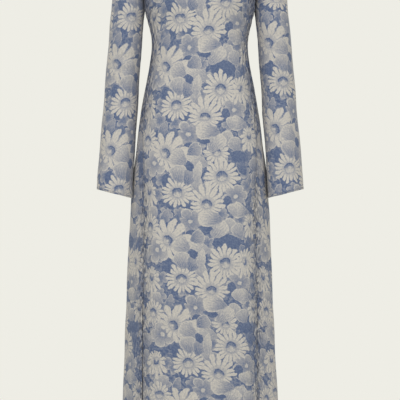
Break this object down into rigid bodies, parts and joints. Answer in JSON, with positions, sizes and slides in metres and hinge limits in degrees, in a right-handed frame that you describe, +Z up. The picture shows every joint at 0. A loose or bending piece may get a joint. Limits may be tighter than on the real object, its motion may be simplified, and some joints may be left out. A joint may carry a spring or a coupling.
{
  "type": "long-sleeved floral maxi dress",
  "caption": "Slim ankle-length dress of thin printed cloth, hollow as if worn, with long set-in sleeves, a round bound neck, a nipped waist and a gently flared skirt.",
  "frame": {"origin": "midway between the shoulders, at the height where the cloth rests on them", "axes": "+Z up, from hem to neck; the front of the dress faces -Y; +X is the wearer's left"},
  "size_m": [0.511, 0.255, 1.4822],
  "materials": {
    "printed_cloth": "matt, fine semi-sheer weave with a dense cream-on-blue daisy print",
    "neck_binding_cloth": "matt, fine plain weave, dyed dark blue"
  },
  "bodies": {
    "root": {"front": "printed_cloth", "back": "printed_cloth", "sleeve_left": "printed_cloth", "sleeve_right": "printed_cloth", "neck_binding": "neck_binding_cloth"}
  },
  "joints": []
}
